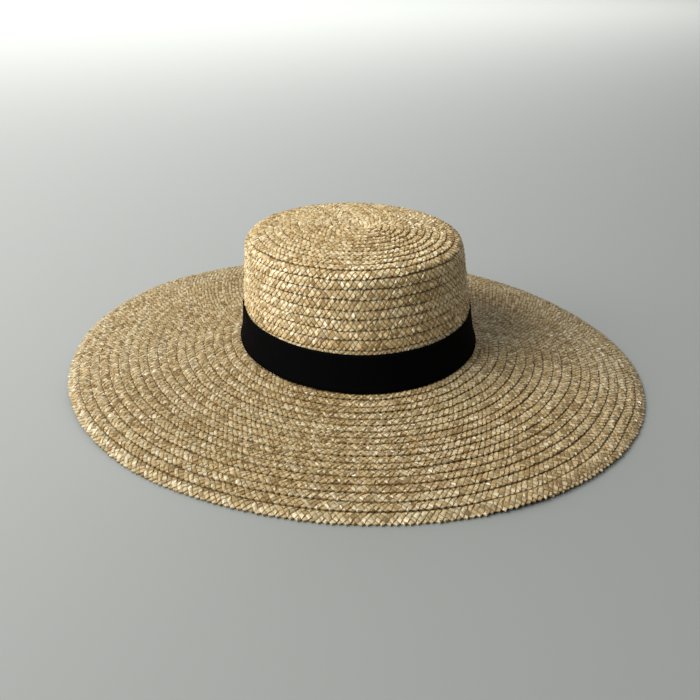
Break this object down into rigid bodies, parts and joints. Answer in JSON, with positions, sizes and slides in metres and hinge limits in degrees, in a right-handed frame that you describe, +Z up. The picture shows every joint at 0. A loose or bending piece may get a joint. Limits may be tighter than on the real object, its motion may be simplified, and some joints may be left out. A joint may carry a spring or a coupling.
{
  "type": "wide-brim straw hat",
  "caption": "Flat-topped straw hat with a wide, softly wavy brim of sewn straw plait and a plain dark ribbon band round the foot of the crown.",
  "frame": {"origin": "middle of the footprint on the table that the hat lies on", "axes": "+Z up out of the crown, -Y the front of the hat, +X its left side"},
  "size_m": [0.4494, 0.4696, 0.118],
  "materials": {
    "straw_crown": "flattened wheat-straw plait sewn in rounds, natural straw with pale glints",
    "straw_brim": "flattened wheat-straw plait sewn in rounds, natural straw with pale glints",
    "ribbon": "matt ribbed black ribbon"
  },
  "bodies": {
    "root": {"crown": "straw_crown", "brim": "straw_brim", "ribbon_band": "ribbon"}
  },
  "joints": []
}
